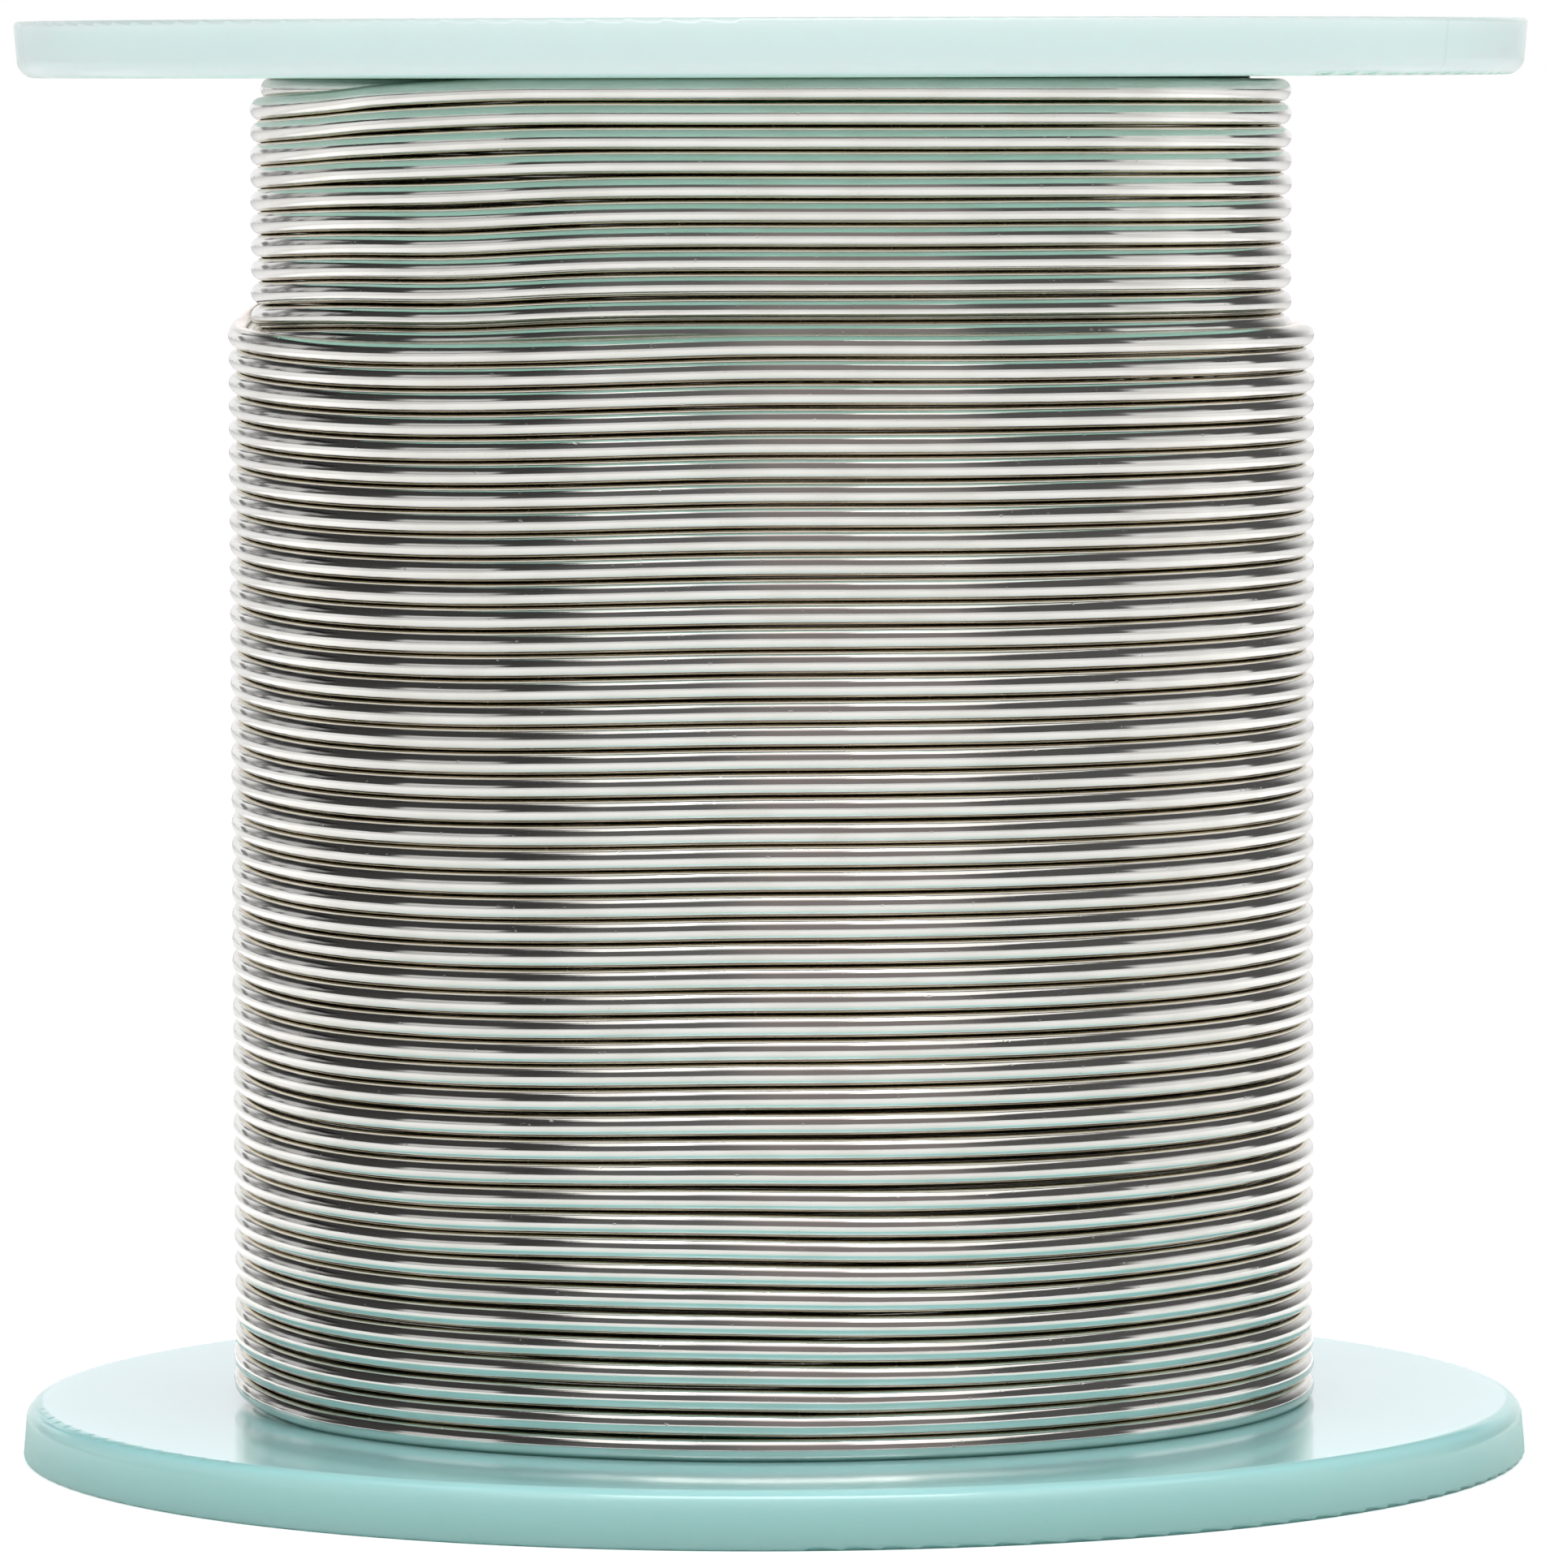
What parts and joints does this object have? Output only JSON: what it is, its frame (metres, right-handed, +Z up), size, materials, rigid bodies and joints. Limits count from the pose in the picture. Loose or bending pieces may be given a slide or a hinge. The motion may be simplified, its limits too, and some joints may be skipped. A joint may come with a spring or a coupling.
{
  "type": "solder wire spool",
  "caption": "Round plastic reel wound full with bright solder wire, with a plain bore through its hub and a bare label on each outer face.",
  "frame": {"origin": "centre of the lower flange's outer face, on the spindle axis, where the reel stands", "axes": "+Z up the spindle axis; -Y is the side seen in the picture; the free end is tied off behind, at +Y"},
  "size_m": [0.066, 0.066, 0.0628],
  "materials": {
    "plastic": "smooth moulded plastic, pale aqua",
    "solder": "bright drawn tin alloy",
    "paper": "matt label paper, blank"
  },
  "bodies": {
    "root": {"lower_flange": "plastic", "upper_flange": "plastic", "barrel": "plastic", "winding_core": "solder", "winding_outer": "solder", "winding_exposed": "solder", "start_tail": "solder", "upper_label": "paper", "lower_label": "paper"}
  },
  "joints": []
}
